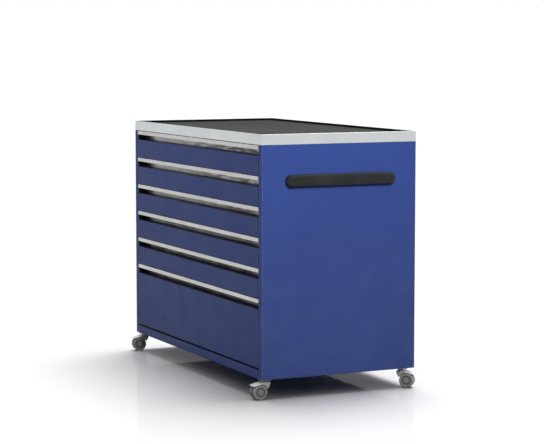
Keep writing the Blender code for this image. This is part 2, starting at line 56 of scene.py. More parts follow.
# Sizes that several pieces share, in metres. A flat run is how far a flat face reaches in to its cap.
SEAM = 0.0003
NEAR = 0.0001
MERGE_DISTANCE = 1e-6
FLAT_RUN = 0.010
CUT_SHARE = 0.3
SHARP_ANGLE = math.radians(32)

# Radii of small roundings
LEAST_RADIUS = 0.0002
TINY_ROUND = 0.0003
CUT_ROUND = 0.0004
FINE_ROUND = 0.0005
SLIGHT_ROUND = 0.0006
SMALL_ROUND = 0.0008
TIP_ROUND = 0.0009
SOFT_ROUND = 0.0012
CORNER_ROUND = 0.0015
FOLD_ROUND = 0.002

# Sizes of the carcass
PANEL_SHEET = 0.0015
PANEL_BEND = 0.003
STILE_WIDTH = 0.0245
FRONT_RETURN = 0.0326
REAR_LIP = 0.015
PLINTH_FLANGE = 0.020
JOINT_SHARE = 0.95
RIVETS = 7
RIVET_RADIUS = 0.004
RIVET_RISE = 0.0012
RIVET_INSET = 0.016
RIVET_RINGS = 6
RIM_WALL = 0.003
RIM_EASE = 0.0012
TRAY_FLOOR = 0.0025
RECESS_DEPTH = 0.0075
MAT_BORDER = 0.004
MAT_RUN = 0.012
GRIP_ROUND = 0.0105
GRIP_TURN_IN = 0.0030
GRIP_WALL = 0.004
# Grip edge value: worn paler on the upper rounding, painted shade on the lower rounding
GRIP_RUB_AND_SHADE = 0.6
GRIP_STEPS = 14
GRIP_RINGS = 13
GRIP_BACK_RUN = 0.012
GRIP_SPINE = 0.0005
POCKET_BELOW = 0.020
POCKET_BEHIND = 0.010
POCKET_RUN = 0.008
POCKET_FILLET = 0.003
POCKET_CORNER = 0.006

# Sizes of the drawers
DRAWER_SHEET = 0.0012
FRONT_EASE = 0.0012
FACE_INSET = 0.0035
PULL_HEIGHT = 0.0297
PULL_LIP = 0.0125
PULL_SHEET = 0.002
PULL_BEND = 0.0025
END_CAP = 0.003
BOX_FOLD = 0.0016
BOX_HEM = 0.008
HEM_ROUND = 0.0011
RAIL_SHEET = 0.0015
RAIL_HALF = 0.0144
RAIL_GAP = 0.0008

# Sizes of the castors
WHEEL_RADIUS = 0.023
WHEEL_INNER = 0.004
WHEEL_OUTER = 0.016
WHEEL_DRAFT = 0.0004
TREAD_ROUND = 0.0032
RIM_DEPTH = 0.007
DISC_RECESS = 0.003
SUNK_DEPTH = 0.0005
HUB_RADIUS = 0.008
HUB_ROUND = 0.0007
HUB_CAP = 0.003
DIMPLE_RADIUS = 0.0022
DIMPLE_DEPTH = 0.0015
AXLE_RADIUS = 0.004
AXLE_HALF = 0.0127
TRAIL = 0.020
WEB_HALF = 0.003
WEB_TIP = 0.008
WEB_FOOT = 0.0035
HOOD_HALF = 0.018
HOOD_SHEET = 0.002
HOOD_GAP = 0.001
HOOD_TILT = math.radians(14)
COVER_ROUND = 0.0010
CROWN_FRONT = 0.006
CROWN_BACK = 0.011
CROWN_NOSE = 0.0060
THROAT_DROP = 0.0065
THROAT_WALL = 0.0035
THROAT_ANGLE = math.radians(28)
KINGPIN_RADIUS = 0.004
KINGPIN_DEPTH = 0.012
SOCKET_OVER = 0.002
RACE_RADIUS = 0.010
RACE_LAP = 0.001
RACE_GROOVE = 0.0012
RACE_LEVELS = (0.0036, 0.0030, 0.0022, 0.0016)
MOUNT_SHEET = 0.003
MOUNT_RUN = 0.006
MOUNT_CORNER = 0.004
BOLT_RADIUS = 0.003
BOLT_DROP = 0.0026
BOLT_CHAMFER = 0.0004
BOLT_BEVEL = 0.0006
BOLT_LAP = 0.0005
BOLT_INSET = 0.0045

# Ranges in the finishes. Four values take the first two to the last two.
NOISE_MIDDLE = (0.3, 0.7)
ZINC_TONES = (0.2, 0.8)
WEAR_RANGE = (0.72, 1.05, 0.0, 1.0)
PAINTED_LIGHT_RANGE = (-1.0, 0.0, 1.0, 0.0)
DUST_FALL = (0.0, 1.0, 1.0, 0.0)
DUST_PATCHES = (0.35, 0.75, 0.45, 1.0)
SCRATCH_BAND = (0.70, 0.78, 0.0, 1.0)
COAT_FLECKS = (0.45, 0.8, 0.0, 0.10)
# Painted reflection mottling and painted shade on the walls of the pull recesses
PAINTED_REFLECTION_MOTTLE = (0.40, 0.58, 0.1, 0.8)
PAINTED_REFLECTION_GROWTH = (-0.45, 0.45, 0.1, 1.0)
PAINTED_END_SHADE = (-0.48, -0.385, 0.97, 0.0)
PAINTED_LOW_SHADE = (0.34, 0.72, 0.88, 0.0)
PAINTED_LOW_STREAKS = (0.40, 0.58, 0.82, 1.06)
RIB_DUST = (0.0, 0.6, 1.0, 0.0)

# Patterns in the finishes
FINE_RATIO = 3.7
SCRATCH_LAYS = (((0.3, 0.5, 0.2), (1.0, 26.0, 26.0)), ((0.9, 0.2, 1.1), (22.0, 1.0, 22.0)))
STAIN_SHARE = 0.4
SPANGLE_SHARE = 0.35
ZINC_DULLER = 0.08
ZINC_GLOSSIER = 0.06
RUB_GAIN = 2.2

# Light, floor and camera
WHITE = (1, 1, 1, 1)
SKY_LIGHT = (0.0, 0.9, 0.0, 0.42)
SUN_PLACE = (-0.22, 0.26, 0.94)
SUN_SPREAD = 44.0
SUN_POWER = 2.55
SOFTBOXES = {
    "side_softbox": {"place": (2.3, -0.2, 1.9), "aim": (0.5, 0.0, 0.85), "size": 1.0, "power": 9.0},
    "front_softbox": {"place": (-0.3, -2.3, 2.2), "aim": (0.0, -0.26, 0.8), "size": 1.2, "power": 2.5},
}
SOFTBOX_SPREAD = 70.0
FLOOR_HALF = 60.0
FLOOR_BOUNCE = (0.17, 0.17, 0.17, 1)
FLOOR_GLOSS = 0.08
FLOOR_ROUGHNESS = 0.05
CAMERA_PLACE = (5.5630, -2.5884, 1.0862)
CAMERA_AZIMUTH = math.radians(64.875)
CAMERA_ELEVATION = math.radians(5.597)
CAMERA_LENS = 123.93
CAMERA_SENSOR = 36.0


# Shapes worked out on grids


def unit(vectors):
    """Vectors divided by their lengths."""
    return vectors / np.linalg.norm(vectors, axis=-1, keepdims=True)


def filleted(corners, radii, steps=6, closed=True):
    """Rounds the corners of a polyline.

    Each corner becomes an arc that touches its two sides at radius / tan(half the corner's angle) from
    the corner. The edge value of a point is the sine of its share of the arc: 0 where the arc meets a
    side, 1 in its middle.
    """
    corners = np.asarray(corners, float)
    rounded = slice(None) if closed else slice(1, -1)
    here = corners[rounded]
    before = unit(np.roll(corners, 1, axis=0)[rounded] - here)
    after = unit(np.roll(corners, -1, axis=0)[rounded] - here)
    radii = np.broadcast_to(np.asarray(radii, float), len(here))
    half = np.arccos(np.clip((before * after).sum(axis=1), -1, 1)) / 2
    centre = here + unit(before + after) * (radii / np.sin(half))[:, None]
    reach = (radii / np.tan(half))[:, None]
    first = here + before * reach - centre
    last = here + after * reach - centre
    share = np.linspace(0, 1, steps + 1)
    turn = (np.pi - 2 * half)[:, None]
    from_first = (np.sin((1 - share) * turn) / np.sin(turn))[..., None]
    from_last = (np.sin(share * turn) / np.sin(turn))[..., None]
    arcs = centre[:, None] + from_first * first[:, None] + from_last * last[:, None]
    points = arcs.reshape(-1, 2)
    edge = np.tile(np.sin(np.pi * share), len(here))
    if closed:
        return points, edge
    return np.vstack([corners[:1], points, corners[-1:]]), np.concatenate([[0], edge, [0]])


def bent_sheet(path, sheet, bend, steps=6):
    """Section of a sheet bent along a path of left turns.

    The outer face is the path, and the inner face is the path moved to its left by the sheet, mitred at
    the corners. Outer bends have the given radius and inner ones that radius less the sheet.
    """
    path = np.asarray(path, float)
    runs = unit(np.diff(path, axis=0))
    left = np.column_stack([-runs[:, 1], runs[:, 0]])
    mitre = left[:-1] + left[1:]
    mitre = mitre / (1 + (runs[:-1] * runs[1:]).sum(axis=1))[:, None]
    inner = path + sheet * np.vstack([left[:1], mitre, left[-1:]])
    bends = len(path) - 2
    ends = [sheet * CUT_SHARE]
    radii = ends + [bend] * bends + ends + ends + [bend - sheet] * bends + ends
    return filleted(np.vstack([path, inner[::-1]]), radii, steps)


def channel(start, low, far, high):
    """Corners of a channel in section: out from the start, up and back."""
    return [(start, low), (far, low), (far, high), (start, high)]


def in_space(axis, first, second, along):
    """Points from two coordinates across an axis and one along it."""
    parts = [first, second]
    parts.insert("XYZ".index(axis), along)
    return np.stack(np.broadcast_arrays(*parts), axis=-1)


def grid_faces(rows, columns):
    """Four-sided faces of a grid whose columns close into a ring."""
    index = np.arange(rows * columns).reshape(rows, columns)
    ahead = np.roll(index, -1, axis=1)
    return np.stack([index[:-1], ahead[:-1], ahead[1:], index[1:]], axis=-1).reshape(-1, 4).tolist()


def skin(grid, edge, caps=True):
    """A patch from a grid of rings, with a flat cap on the first and last ring."""
    rows, columns = grid.shape[:2]
    faces = grid_faces(rows, columns)
    if caps:
        faces.append(list(range(columns))[::-1])
        faces.append(list(range((rows - 1) * columns, rows * columns)))
    edge = np.broadcast_to(edge, (rows, columns)).ravel()
    return grid.reshape(-1, 3), faces, edge


def swept(section, axis, start, stop):
    """A section carried straight along an axis. Parameters: place on the section, place along the axis."""
    points, edge = section
    along = np.array([start, stop])[:, None]
    return skin(in_space(axis, points[:, 0], points[:, 1], along), edge)


def there_and_back(values):
    """Values followed by the same in reverse, as a column."""
    return np.concatenate([values, values[::-1]])[:, None]


def eased_bar(section, axis, start, stop, ease, steps=4):
    """A section carried along an axis, with a quarter round on the edges of both ends.

    Parameters: place on the section, angle in the rounding. A ring lies the ease times one less the
    cosine inside the end, and its points lie the ease times one less the sine inside the section, along
    the section's normals. The section's edge value fades to 0 on the end faces, with the sine.
    """
    points, edge = section
    before = unit(points - np.roll(points, 1, axis=0))
    after = unit(np.roll(points, -1, axis=0) - points)
    along = unit(before + after)
    ahead = np.roll(points, -1, axis=0)
    area = (points[:, 0] * ahead[:, 1] - points[:, 1] * ahead[:, 0]).sum()
    inwards = np.sign(area) * np.column_stack([-along[:, 1], along[:, 0]])
    angle = np.linspace(0, np.pi / 2, steps + 1)
    inset = there_and_back(ease * (1 - np.sin(angle)))
    depth = ease * (1 - np.cos(angle))
    place = np.concatenate([start + depth, stop - depth[::-1]])[:, None]
    first = points[:, 0] + inset * inwards[:, 0]
    second = points[:, 1] + inset * inwards[:, 1]
    rounding = there_and_back(np.sin(2 * angle))
    fade = there_and_back(np.sin(angle))
    return skin(in_space(axis, first, second, place), np.maximum(edge * fade, rounding))


def ring_angles(steps):
    """Angles once round a rectangle with round corners, a quarter turn for each corner."""
    quarter = np.linspace(0, np.pi / 2, steps + 1)
    return (np.arange(4)[:, None] * np.pi / 2 + quarter).ravel()


def ringed(inset, height, edge, axis, middle, halves, corner, steps=5):
    """Rings round a rectangle with round corners, at an inset and a height each.

    A ring has the half sizes less the inset and the corner radius less the inset, at its height on the
    axis. A ring point is its corner's centre plus the radius times the cosine and sine of an angle that
    runs once round.
    """
    angle = ring_angles(steps)
    side_a = np.repeat([1, -1, -1, 1], steps + 1)
    side_b = np.repeat([1, 1, -1, -1], steps + 1)
    radius = np.maximum(corner - inset, LEAST_RADIUS)
    first = middle[0] + side_a * (halves[0] - inset - radius) + radius * np.cos(angle)
    second = middle[1] + side_b * (halves[1] - inset - radius) + radius * np.sin(angle)
    return skin(in_space(axis, first, second, height), edge)


def lofted(profile, axis, middle, halves, corner, steps=5):
    """A profile of (inset, height) carried round a rectangle with round corners."""
    points, edge = profile
    return ringed(points[:, :1], points[:, 1:], edge[:, None], axis, middle, halves, corner, steps)


def turned(profile, axis, centre, steps=40):
    """A profile of (radius, height) turned about an axis.

    A point is the radius times the cosine and sine of the angle, at its height along the axis.
    """
    points, edge = profile
    angle = np.arange(steps) * 2 * np.pi / steps
    radius = points[:, :1]
    grid = in_space(axis, radius * np.cos(angle), radius * np.sin(angle), points[:, 1:])
    return skin(grid + np.asarray(centre), edge[:, None], caps=False)


def moved(patch, turn, shift):
    """A patch turned about Z by an angle and then moved."""
    points, faces, edge = patch
    cosine = math.cos(turn)
    sine = math.sin(turn)
    rotation = np.array([[cosine, -sine, 0], [sine, cosine, 0], [0, 0, 1]])
    return points @ rotation.T + np.asarray(shift), faces, edge


# Pieces


def merged_mesh(name, patches):
    """One mesh of all patches, with doubles merged, faces outwards and the edge value on each point."""
    points = np.vstack([patch[0] for patch in patches])
    starts = np.cumsum([0] + [len(patch[0]) for patch in patches])
    faces = []
    for patch, start in zip(patches, starts):
        faces.extend([start + index for index in face] for face in patch[1])
    mesh = bpy.data.meshes.new(name)
    mesh.from_pydata(points.tolist(), [], faces)
    value = mesh.attributes.new("edge", "FLOAT", "POINT")
    value.data.foreach_set("value", np.concatenate([patch[2] for patch in patches]))
    bm = bmesh.new()
    bm.from_mesh(mesh)
    bmesh.ops.remove_doubles(bm, verts=bm.verts, dist=MERGE_DISTANCE)
    bmesh.ops.recalc_face_normals(bm, faces=bm.faces)
    bm.to_mesh(mesh)
    bm.free()
    return mesh


def add_piece(name, mesh, finish, body, stands_for=()):
    """Shows a mesh as a piece that rides on a body, smooth but for its sharp edges."""
    mesh.materials.append(finish)
    mesh.shade_smooth()
    mesh.set_sharp_from_angle(angle=SHARP_ANGLE)
    piece = bpy.data.objects.new(name, mesh)
    bpy.context.scene.collection.objects.link(piece)
    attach(piece, body)
    if stands_for:
        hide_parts(*stands_for)


def add_patches(name, patches, finish, body, stands_for=()):
    """Shows patches, merged into one mesh, as a piece."""
    add_piece(name, merged_mesh(name, patches), finish, body, stands_for)


def combined_mesh(mesh, tool, operation):
    """Union or difference of two closed meshes."""
    pair = []
    for part in (mesh, tool):
        item = bpy.data.objects.new("shape", part)
        bpy.context.scene.collection.objects.link(item)
        pair.append(item)
    modifier = pair[0].modifiers.new("combine", "BOOLEAN")
    modifier.operation = operation
    modifier.object = pair[1]
    evaluated = pair[0].evaluated_get(bpy.context.evaluated_depsgraph_get())
    result = bpy.data.meshes.new_from_object(evaluated)
    for item in pair:
        bpy.data.objects.remove(item)
    return result


def node_box(name):
    """Lowest and highest corner of a node as arrays."""
    low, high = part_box(name)
    return np.array(low), np.array(high)


def node_space(name):
    """Lowest and highest corner, middle and half sizes of a node."""
    low, high = node_box(name)
    return low, high, (low + high) / 2, (high - low) / 2


# Node groups shared by the finishes


def wire(tree, kind, values=None, **settings):
    """Adds a node, sets its options, sets or links its inputs, and gives its outputs."""
    made = tree.nodes.new(kind)
    for name, value in settings.items():
        setattr(made, name, value)
    for key, value in (values or {}).items():
        if isinstance(value, bpy.types.NodeSocket):
            tree.links.new(value, made.inputs[key])
        else:
            made.inputs[key].default_value = value
    return made.outputs


def arithmetic(tree, operation, first, second):
    """One step of arithmetic."""
    return wire(tree, "ShaderNodeMath", {0: first, 1: second}, operation=operation)[0]


def plus(tree, first, second, share):
    """A value plus a share of another."""
    return arithmetic(tree, "ADD", first, arithmetic(tree, "MULTIPLY", second, share))


def ranged(tree, value, low, high, new_low, new_high):
    """A value taken smoothly from one range to another."""
    inputs = {"Value": value, "From Min": low, "From Max": high, "To Min": new_low, "To Max": new_high}
    return wire(tree, "ShaderNodeMapRange", inputs, interpolation_type="SMOOTHSTEP")[0]


def varied(tree, noise, middle, by):
    """A value that the middle of a noise moves up and down."""
    return ranged(tree, noise, *NOISE_MIDDLE, middle - by, middle + by)


def tinted(tree, amount, first, second):
    """Two colours mixed by an amount, through the colour sockets of a mix node: 6 and 7 in, 2 out."""
    return wire(tree, "ShaderNodeMix", {0: amount, 6: first, 7: second}, data_type="RGBA")[2]


def toned(tree, noise, deep, pale):
    """Two colours mixed by the middle of a noise."""
    return tinted(tree, ranged(tree, noise, *NOISE_MIDDLE, 0.0, 1.0), deep, pale)


def overlaid(tree, colour, mask, share, over):
    """A colour laid over another by a share of a mask."""
    return tinted(tree, arithmetic(tree, "MULTIPLY", mask, share), colour, over)


def object_place(tree):
    """A surface point in its object's own coordinates."""
    return wire(tree, "ShaderNodeTexCoord")["Object"]


def noise_value(tree, place, **values):
    """The value of a noise at a place."""
    return wire(tree, "ShaderNodeTexNoise", {"Vector": place, **values})[0]


def new_group(name, inputs, outputs):
    """An empty node group with float or vector inputs and float outputs, and its sockets inside."""
    group = bpy.data.node_groups.new(name, "ShaderNodeTree")
    for label, value in inputs.items():
        kind = "NodeSocketVector" if isinstance(value, tuple) else "NodeSocketFloat"
        socket = group.interface.new_socket(label, in_out="INPUT", socket_type=kind)
        socket.default_value = value
    for label in outputs:
        group.interface.new_socket(label, in_out="OUTPUT", socket_type="NodeSocketFloat")
    return group, group.nodes.new("NodeGroupInput").outputs, group.nodes.new("NodeGroupOutput").inputs


def grain_group():
    """Two noises of one scale and stretch: a soft value and a finer one for bumps."""
    inputs = {"Scale": 100.0, "Stretch": (1.0, 1.0, 1.0)}
    group, given, result = new_group("grain", inputs, ["Soft", "Fine"])
    stretched = {"Vector": object_place(group), "Scale": given["Stretch"]}
    place = wire(group, "ShaderNodeMapping", stretched)[0]
    soft = noise_value(group, place, Scale=given["Scale"], Detail=3.0, Roughness=0.55)
    finer = arithmetic(group, "MULTIPLY", given["Scale"], FINE_RATIO)
    fine = noise_value(group, place, Scale=finer, Detail=2.0, Roughness=0.6)
    group.links.new(soft, result["Soft"])
    group.links.new(fine, result["Fine"])
    return group


def wear_and_painted_light_group():
    """Worn edges, where noise breaks up the edge value, and painted light and shade where that value is
    below 0.
    """
    group, given, result = new_group("edge_wear_and_painted_light", {"Scale": 60.0, "Reach": 0.5}, ["Mask", "PaintedLight"])
    breaks = noise_value(group, object_place(group), Scale=given["Scale"], Detail=5.0)
    edge = wire(group, "ShaderNodeAttribute", attribute_name="edge")["Fac"]
    total = arithmetic(group, "ADD", arithmetic(group, "MULTIPLY", edge, given["Reach"]), breaks)
    group.links.new(ranged(group, total, *WEAR_RANGE), result["Mask"])
    # An edge value below 0 marks where light and shade are painted.
    group.links.new(ranged(group, edge, *PAINTED_LIGHT_RANGE), result["PaintedLight"])
    return group


def dust_group():
    """Dust that thins out upwards from the floor, in patches."""
    group, given, result = new_group("floor_dust", {"Top": 0.25}, ["Mask"])
    place = object_place(group)
    height = wire(group, "ShaderNodeSeparateXYZ", {0: place})["Z"]
    low = ranged(group, arithmetic(group, "DIVIDE", height, given["Top"]), *DUST_FALL)
    patches = ranged(group, noise_value(group, place, Scale=14.0, Detail=6.0), *DUST_PATCHES)
    group.links.new(arithmetic(group, "MULTIPLY", low, patches), result["Mask"])
    return group


def scratch_group():
    """Fine straight scratches: two thin bands of stretched noise laid across each other."""
    group, given, result = new_group("scratches", {"Scale": 18.0}, ["Mask"])
    place = object_place(group)
    bands = []
    for turn, stretch in SCRATCH_LAYS:
        laid = wire(group, "ShaderNodeMapping", {"Vector": place, "Rotation": turn, "Scale": stretch})[0]
        lines = noise_value(group, laid, Scale=given["Scale"], Detail=2.0)
        bands.append(ranged(group, lines, *SCRATCH_BAND))
    group.links.new(arithmetic(group, "MAXIMUM", *bands), result["Mask"])
    return group


GRAIN = grain_group()
WEAR_AND_PAINTED_LIGHT = wear_and_painted_light_group()
DUST = dust_group()
SCRATCHES = scratch_group()


# Finishes


def placed(tree, group, **values):
    """Puts a shared node group into a material and gives its outputs."""
    made = tree.nodes.new("ShaderNodeGroup")
    made.node_tree = group
    for name, value in values.items():
        made.inputs[name].default_value = value
    return made.outputs


def new_finish(name, metallic, gloss=0.5):
    """A material ready for its pattern, with its nodes and its shader's inputs."""
    finish = bpy.data.materials.new(name)
    finish.use_nodes = True
    shader = finish.node_tree.nodes["Principled BSDF"].inputs
    shader["Metallic"].default_value = metallic
    shader["Specular IOR Level"].default_value = gloss
    return finish, finish.node_tree, shader


def join(tree, shader, colour, roughness, height, depth):
    """Feeds a colour, a roughness and a bump of the given depth in metres to the shader."""
    tree.links.new(colour, shader["Base Color"])
    tree.links.new(roughness, shader["Roughness"])
    bump = wire(tree, "ShaderNodeBump", {"Height": height, "Strength": 0.6, "Distance": depth})
    tree.links.new(bump[0], shader["Normal"])


def grey(level):
    """A grey colour."""
    return (level, level, level, 1)


def powder_coat(name, deep, pale, worn, rough, gloss, metallic=0.0):
    """Powder coat: a drift of tone, speckle, an orange-peel bump, worn edges, painted shade in joints and
    dust.
    """
    finish, tree, shader = new_finish(name, metallic, gloss)
    drift = placed(tree, GRAIN, Scale=3.0)
    speckle = placed(tree, GRAIN, Scale=420.0)
    wear_and_painted_light = placed(tree, WEAR_AND_PAINTED_LIGHT, Scale=70.0, Reach=0.55)
    marks = placed(tree, SCRATCHES, Scale=16.0)
    dust = placed(tree, DUST, Top=0.75)
    colour = toned(tree, drift["Soft"], deep, pale)
    colour = tinted(tree, ranged(tree, speckle["Fine"], *COAT_FLECKS), colour, worn)
    colour = overlaid(tree, colour, wear_and_painted_light["Mask"], share=0.75, over=worn)
    colour = overlaid(tree, colour, marks["Mask"], share=0.10, over=worn)
    colour = overlaid(tree, colour, dust["Mask"], share=0.095, over=(0.36, 0.35, 0.34, 1))
    # Painted shade: hollows and joints darkened to near black, as if in shadow.
    colour = overlaid(tree, colour, wear_and_painted_light["PaintedLight"], share=0.9, over=(0.004, 0.005, 0.012, 1))
    roughness = varied(tree, drift["Fine"], rough, by=0.05)
    roughness = plus(tree, roughness, dust["Mask"], share=0.12)
    join(tree, shader, colour, roughness, speckle["Soft"], depth=0.0002)
    return finish


def recess_shade(tree, hollow):
    """Painted reflection mottling growing to the right, and painted shade at the left end and towards the
    floor.
    """
    place = wire(tree, "ShaderNodeSeparateXYZ", {0: object_place(tree)})
    # A mottled noise paints the reflection on the recess walls.
    painted_reflection = placed(tree, GRAIN, Scale=50.0, Stretch=(0.3, 1.0, 2.4))["Soft"]
    growth = ranged(tree, place["X"], *PAINTED_REFLECTION_GROWTH)
    dark = arithmetic(tree, "MULTIPLY", ranged(tree, painted_reflection, *PAINTED_REFLECTION_MOTTLE), growth)
    dark = arithmetic(tree, "MAXIMUM", dark, ranged(tree, place["X"], *PAINTED_END_SHADE))
    streaks = ranged(tree, painted_reflection, *PAINTED_LOW_STREAKS)
    shade = arithmetic(tree, "MULTIPLY", ranged(tree, place["Z"], *PAINTED_LOW_SHADE), streaks)
    return arithmetic(tree, "MULTIPLY", arithmetic(tree, "MAXIMUM", dark, shade), hollow)


def brushed_metal(name, deep, pale, rough, stretch, scale):
    """Brushed metal: long fine lines in colour, gloss and bump, stains, worn edges, and dull hollows with
    painted reflection and shade.
    """
    finish, tree, shader = new_finish(name, 1.0)
    lines = placed(tree, GRAIN, Scale=scale, Stretch=stretch)
    stain = placed(tree, GRAIN, Scale=9.0)
    wear_and_painted_light = placed(tree, WEAR_AND_PAINTED_LIGHT, Scale=90.0, Reach=0.5)
    amount = arithmetic(tree, "MULTIPLY", lines["Soft"], 1 - STAIN_SHARE)
    amount = plus(tree, amount, stain["Soft"], STAIN_SHARE)
    colour = toned(tree, amount, deep, pale)
    colour = overlaid(tree, colour, wear_and_painted_light["Mask"], share=0.6, over=grey(0.86))
    # Painted reflection and shade on hollows: first made pale, then darkened by the painted recess shade.
    colour = overlaid(tree, colour, wear_and_painted_light["PaintedLight"], share=0.9, over=(0.86, 0.86, 0.85, 1))
    colour = tinted(tree, recess_shade(tree, wear_and_painted_light["PaintedLight"]), colour, (0.05, 0.048, 0.044, 1))
    roughness = varied(tree, lines["Fine"], rough, by=0.07)
    roughness = plus(tree, roughness, wear_and_painted_light["PaintedLight"], share=0.4)
    join(tree, shader, colour, roughness, lines["Fine"], depth=0.00006)
    return finish


def zinc_plate(name, deep, pale, worn, rough, metallic, reach):
    """Zinc plating: crystal spangle, slow bloom, worn edges and a little floor dust; a full edge value
    paints a face paler as a highlight.
    """
    finish, tree, shader = new_finish(name, metallic)
    crystals = {"Vector": object_place(tree), "Scale": 85.0, "Randomness": 1.0}
    spangle = wire(tree, "ShaderNodeTexVoronoi", crystals)["Color"]
    flakes = wire(tree, "ShaderNodeSeparateColor", {0: spangle})["Red"]
    bloom = placed(tree, GRAIN, Scale=22.0)
    wear_and_painted_light = placed(tree, WEAR_AND_PAINTED_LIGHT, Scale=120.0, Reach=reach)
    dust = placed(tree, DUST, Top=0.10)
    amount = arithmetic(tree, "MULTIPLY", flakes, SPANGLE_SHARE)
    amount = plus(tree, amount, bloom["Soft"], 1 - SPANGLE_SHARE)
    colour = tinted(tree, ranged(tree, amount, *ZINC_TONES, 0.0, 1.0), deep, pale)
    colour = overlaid(tree, colour, wear_and_painted_light["Mask"], share=0.9, over=worn)
    colour = overlaid(tree, colour, dust["Mask"], share=0.18, over=(0.22, 0.21, 0.20, 1))
    roughness = ranged(tree, amount, *ZINC_TONES, rough + ZINC_DULLER, rough - ZINC_GLOSSIER)
    join(tree, shader, colour, roughness, bloom["Fine"], depth=0.00008)
    return finish


def moulded_plastic(name, deep, pale, rough, scale, gloss):
    """Moulded plastic or rubber: a fine grain, scuffs, slightly paler worn edges and painted shade in
    hollows.
    """
    finish, tree, shader = new_finish(name, 0.0, gloss)
    texture = placed(tree, GRAIN, Scale=scale)
    drift = placed(tree, GRAIN, Scale=12.0)
    wear_and_painted_light = placed(tree, WEAR_AND_PAINTED_LIGHT, Scale=110.0, Reach=0.5)
    marks = placed(tree, SCRATCHES, Scale=30.0)
    worn = tuple(RUB_GAIN * part for part in pale[:3]) + (1,)
    colour = toned(tree, drift["Soft"], deep, pale)
    colour = overlaid(tree, colour, wear_and_painted_light["Mask"], share=0.5, over=worn)
    # Painted shade in hollows, such as the wheel recesses and the grip's lower edge.
    colour = overlaid(tree, colour, wear_and_painted_light["PaintedLight"], share=0.5, over=grey(0.012))
    roughness = varied(tree, texture["Fine"], rough, by=0.06)
    roughness = plus(tree, roughness, marks["Mask"], share=0.08)
    join(tree, shader, colour, roughness, texture["Soft"], depth=0.00025)
    return finish


def ribbed_mat(name, deep, pale, rough, gloss):
    """Rubber mat: fine ribs along the cabinet, crossed by a soft grain, with dust between the ribs."""
    finish, tree, shader = new_finish(name, 0.0, gloss)
    wave = {"Vector": object_place(tree), "Scale": 52.0, "Distortion": 0.0}
    ribs = wire(tree, "ShaderNodeTexWave", wave, wave_type="BANDS", bands_direction="Y")["Fac"]
    texture = placed(tree, GRAIN, Scale=260.0)
    drift = placed(tree, GRAIN, Scale=7.0)
    border = placed(tree, WEAR_AND_PAINTED_LIGHT)
    dust = arithmetic(tree, "MULTIPLY", ranged(tree, ribs, *RIB_DUST), texture["Soft"])
    colour = toned(tree, drift["Soft"], deep, pale)
    colour = overlaid(tree, colour, dust, share=0.08, over=grey(0.20))
    # Painted shade on the inside of the raised border.
    colour = overlaid(tree, colour, border["PaintedLight"], share=0.9, over=grey(0.003))
    roughness = varied(tree, texture["Fine"], rough, by=0.06)
    height = plus(tree, ribs, texture["Soft"], share=0.25)
    join(tree, shader, colour, roughness, height, depth=0.0002)
    return finish


BLUE = powder_coat(
    "blue_powder_coat", deep=(0.0368, 0.0672, 0.256, 1), pale=(0.0408, 0.0762, 0.286, 1),
    worn=(0.13, 0.18, 0.46, 1), rough=0.34, gloss=0.035,
)
PALE = powder_coat(
    "light_grey_powder_coat", deep=(0.54, 0.565, 0.57, 1), pale=(0.59, 0.615, 0.62, 1),
    worn=(0.80, 0.81, 0.81, 1), rough=0.34, gloss=0.5, metallic=0.85,
)
ALUMINIUM = brushed_metal(
    "satin_anodised", deep=(0.39, 0.39, 0.387, 1), pale=(0.50, 0.50, 0.488, 1),
    rough=0.30, stretch=(0.02, 1.0, 1.0), scale=700.0,
)
STEEL = brushed_metal(
    "rolled_steel", deep=(0.36, 0.37, 0.38, 1), pale=(0.50, 0.51, 0.52, 1),
    rough=0.42, stretch=(1.0, 0.03, 1.0), scale=420.0,
)
ZINC = zinc_plate(
    "zinc_plating", deep=(0.38, 0.39, 0.40, 1), pale=(0.54, 0.545, 0.55, 1),
    worn=grey(0.70), rough=0.40, metallic=1.0, reach=0.45,
)
# The pale worn colour and wide reach also paint the castor cover's top face paler, as a highlight.
CASTOR_ZINC = zinc_plate(
    "castor_zinc", deep=(0.30, 0.30, 0.302, 1), pale=(0.38, 0.38, 0.382, 1),
    worn=grey(0.84), rough=0.44, metallic=0.15, reach=0.70,
)
MAT = ribbed_mat("ribbed_rubber", deep=grey(0.034), pale=grey(0.046), rough=0.88, gloss=0.04)
GRIP = moulded_plastic(
    "moulded_grip", deep=(0.012, 0.013, 0.013, 1), pale=(0.019, 0.020, 0.020, 1),
    rough=0.42, scale=520.0, gloss=0.2,
)
CAP = moulded_plastic(
    "black_end_caps", deep=grey(0.006), pale=grey(0.010), rough=0.55, scale=640.0, gloss=0.2,
)
TREAD = moulded_plastic(
    "grey_tread", deep=(0.23, 0.23, 0.232, 1), pale=(0.28, 0.28, 0.282, 1),
    rough=0.50, scale=380.0, gloss=0.4,
)


# Carcass


def side_panels():
    """Side panels: a plan section bent at stile, skin and rear return, carried up from the base."""
    for side, sign in SIDES:
        low, high = node_box(f"{side}_side_panel")
        outer = high[0] if sign > 0 else -low[0]
        inner = outer - STILE_WIDTH
        path = [
            (inner, low[1] + FRONT_RETURN),
            (inner, low[1]),
            (outer, low[1]),
            (outer, high[1]),
            (inner, high[1]),
            (inner, high[1] - REAR_LIP),
        ]
        points, edge = bent_sheet(path, PANEL_SHEET, PANEL_BEND, steps=8)
        patch = swept((points * [sign, 1], edge), "Z", low[2], high[2])
        add_patches(f"{side}_skin", [patch], BLUE, "cabinet", [f"{side}_side_panel"])


